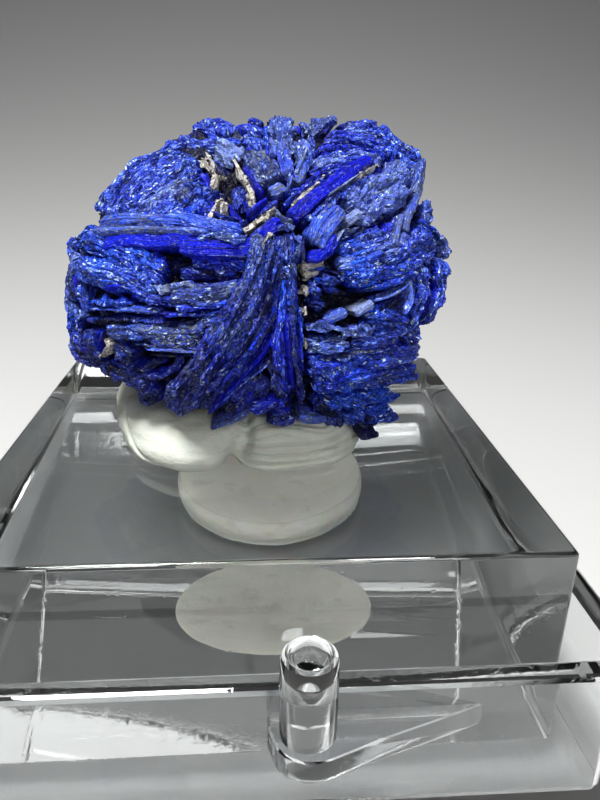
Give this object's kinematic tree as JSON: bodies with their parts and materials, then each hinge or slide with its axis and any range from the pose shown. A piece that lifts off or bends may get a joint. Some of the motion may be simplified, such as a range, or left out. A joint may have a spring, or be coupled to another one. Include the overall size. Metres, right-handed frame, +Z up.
{
  "type": "azurite rosette specimen on a clear block in a box base",
  "caption": "Ball of dark blue bladed azurite pressed on white tack on a clear block, stuck down in a shallow clear box base with a latch post.",
  "frame": {"origin": "centre of the box base's underside, on the surface it stands on", "axes": "+Z up; -Y towards the front, where the latch post is and the rosette's face looks; +X to the right seen from the front"},
  "size_m": [0.038, 0.0408, 0.0346],
  "materials": {
    "azurite": "rough crystal blades, deep ultramarine to navy",
    "white_putty": "kneaded, matt",
    "clear_acrylic": "polished clear",
    "yellowed_putty": "pressed flat, matt",
    "clear_styrene": "moulded clear, lightly scratched"
  },
  "bodies": {
    "root": {"azurite_rosette": "azurite", "mineral_tack": "white_putty", "acrylic_block": "clear_acrylic", "riser_tack": "yellowed_putty", "box_base": "clear_styrene"}
  },
  "joints": []
}
